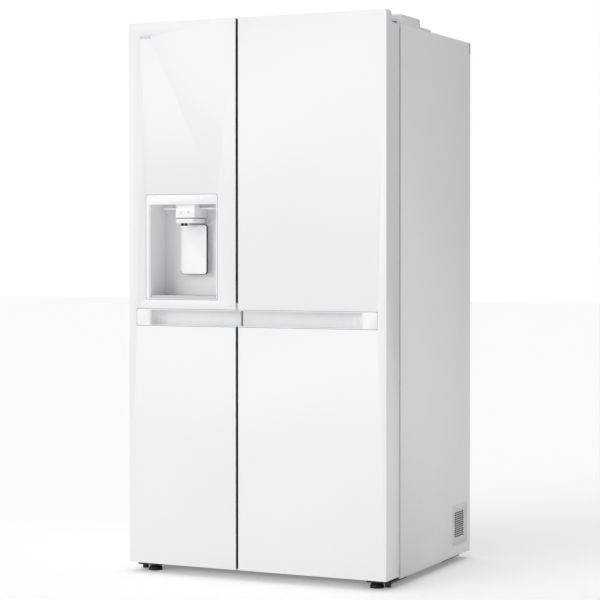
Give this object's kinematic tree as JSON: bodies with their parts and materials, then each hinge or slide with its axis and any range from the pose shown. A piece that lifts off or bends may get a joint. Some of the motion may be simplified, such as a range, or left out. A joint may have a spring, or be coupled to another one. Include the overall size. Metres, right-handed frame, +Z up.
{
  "type": "side by side refrigerator",
  "caption": "Free-standing side by side refrigerator with a narrow freezer door, a wide fridge door, pocket handles and a water and ice dispenser.",
  "frame": {"origin": "centre of the footprint on the floor, bottom centre of the bounding box", "axes": "+Z up along the height, doors face -Y, +X to the right seen from the front"},
  "size_m": [0.913, 0.735, 1.79],
  "materials": {
    "door_enamel": "gloss",
    "cabinet_paint": "satin",
    "galvanised_steel": "satin",
    "black_steel": "satin",
    "white_abs": "gloss",
    "liner_white": "satin",
    "cap_grey": "satin",
    "cover_white": "satin",
    "pu_foam": "matte",
    "gasket_grey": "matte",
    "clear_ps": "gloss",
    "shelf_glass": "gloss",
    "black_rubber": "matte",
    "compressor_enamel": "gloss",
    "coil_aluminium": "satin",
    "condenser_enamel": "satin",
    "zinc_steel": "satin",
    "black_plastic": "satin",
    "tray_grey": "satin",
    "grille_grey": "satin"
  },
  "bodies": {
    "cabinet": {"side_panel_left": "cabinet_paint", "side_panel_right": "cabinet_paint", "top_panel": "cabinet_paint", "back_panel": "galvanised_steel", "front_trim": "cabinet_paint", "base_frame": "black_steel", "insulation_foam": "pu_foam", "freezer_liner": "liner_white", "fridge_liner": "liner_white", "freezer_duct_panel": "liner_white", "fridge_duct_panel": "liner_white", "freezer_shelf_glass": "shelf_glass", "freezer_shelf_frames": "white_abs", "fridge_shelf_glass": "shelf_glass", "fridge_shelf_frames": "white_abs", "top_hinge_left": "zinc_steel", "top_hinge_right": "zinc_steel", "hinge_cover_left": "cover_white", "hinge_cover_right": "cover_white", "bottom_hinge_left": "black_steel", "bottom_hinge_right": "black_steel", "side_vent_grille": "grille_grey", "machine_room_cover": "galvanised_steel", "compressor": "compressor_enamel", "condenser": "condenser_enamel", "evaporator": "coil_aluminium", "cabinet_screws": "zinc_steel"},
    "freezer_door": {"freezer_door_skin": "door_enamel", "freezer_door_liner": "liner_white", "freezer_door_foam": "pu_foam", "freezer_door_gasket": "gasket_grey", "freezer_door_caps": "cap_grey", "freezer_handle": "white_abs", "freezer_door_basket_lower": "clear_ps", "freezer_door_basket_upper": "clear_ps", "dispenser_bezel": "white_abs", "dispenser_housing": "white_abs", "dispenser_head": "white_abs", "ice_maker": "clear_ps"},
    "fridge_door": {"fridge_door_skin": "door_enamel", "fridge_door_liner": "liner_white", "fridge_door_foam": "pu_foam", "fridge_door_gasket": "gasket_grey", "fridge_door_caps": "cap_grey", "fridge_handle": "white_abs", "fridge_door_basket_lower": "clear_ps", "fridge_door_basket_middle": "clear_ps", "fridge_door_basket_upper": "clear_ps"},
    "paddle": {"dispenser_paddle": "white_abs"},
    "chute_flap": {"chute_flap": "black_plastic"},
    "drip_tray": {"drip_tray": "tray_grey"},
    "freezer_drawer_lower": {"freezer_drawer_lower": "clear_ps"},
    "freezer_drawer_upper": {"freezer_drawer_upper": "clear_ps"},
    "crisper_lower": {"crisper_lower": "clear_ps"},
    "crisper_upper": {"crisper_upper": "clear_ps"},
    "front_foot_left": {"front_foot_left": "black_rubber"},
    "front_foot_right": {"front_foot_right": "black_rubber"},
    "rear_roller_left": {"rear_roller_left": "black_plastic"},
    "rear_roller_right": {"rear_roller_right": "black_plastic"},
    "condenser_fan": {"condenser_fan": "black_plastic"}
  },
  "joints": [
    {"name": "freezer_door_hinge", "type": "hinge", "parent": "cabinet", "child": "freezer_door", "pos_m": [-0.434, -0.3, 0.9], "axis": [0, 0, -1], "range_deg": [0, 120]},
    {"name": "fridge_door_hinge", "type": "hinge", "parent": "cabinet", "child": "fridge_door", "pos_m": [0.434, -0.3, 0.9], "axis": [0, 0, 1], "range_deg": [0, 120]},
    {"name": "paddle_push", "type": "hinge", "parent": "freezer_door", "child": "paddle", "pos_m": [-0.26, -0.2775, 1.128], "axis": [1, 0, 0], "range_deg": [0, 5], "stiffness_Nm_per_rad": 0.6, "springref_deg": -2.86},
    {"name": "chute_flap_lift", "type": "hinge", "parent": "freezer_door", "child": "chute_flap", "pos_m": [-0.2616, -0.2755, 1.1446], "axis": [-1, 0, 0], "range_deg": [0, 36]},
    {"name": "drip_tray_slide", "type": "slide", "parent": "freezer_door", "child": "drip_tray", "axis": [0, -1, 0], "range_m": [0, 0.09]},
    {"name": "freezer_drawer_lower_slide", "type": "slide", "parent": "cabinet", "child": "freezer_drawer_lower", "axis": [0, -1, 0], "range_m": [0, 0.093]},
    {"name": "freezer_drawer_upper_slide", "type": "slide", "parent": "cabinet", "child": "freezer_drawer_upper", "axis": [0, -1, 0], "range_m": [0, 0.093]},
    {"name": "crisper_lower_slide", "type": "slide", "parent": "cabinet", "child": "crisper_lower", "axis": [0, -1, 0], "range_m": [0, 0.093]},
    {"name": "crisper_upper_slide", "type": "slide", "parent": "cabinet", "child": "crisper_upper", "axis": [0, -1, 0], "range_m": [0, 0.093]},
    {"name": "front_foot_left_screw", "type": "hinge", "parent": "cabinet", "child": "front_foot_left", "pos_m": [-0.397, -0.3, 0.01], "axis": [0, 0, 1], "continuous": true},
    {"name": "front_foot_right_screw", "type": "hinge", "parent": "cabinet", "child": "front_foot_right", "pos_m": [0.397, -0.3, 0.01], "axis": [0, 0, 1], "continuous": true},
    {"name": "rear_roller_left_spin", "type": "hinge", "parent": "cabinet", "child": "rear_roller_left", "pos_m": [-0.3905, 0.3205, 0.019], "axis": [1, 0, 0], "continuous": true},
    {"name": "rear_roller_right_spin", "type": "hinge", "parent": "cabinet", "child": "rear_roller_right", "pos_m": [0.3905, 0.3205, 0.019], "axis": [1, 0, 0], "continuous": true},
    {"name": "condenser_fan_spin", "type": "hinge", "parent": "cabinet", "child": "condenser_fan", "pos_m": [-0.03, 0.2555, 0.15], "axis": [1, 0, 0], "continuous": true}
  ],
  "couplings": [
    {"joint": "chute_flap_lift", "follows": "paddle_push", "ratio": 7.2}
  ]
}
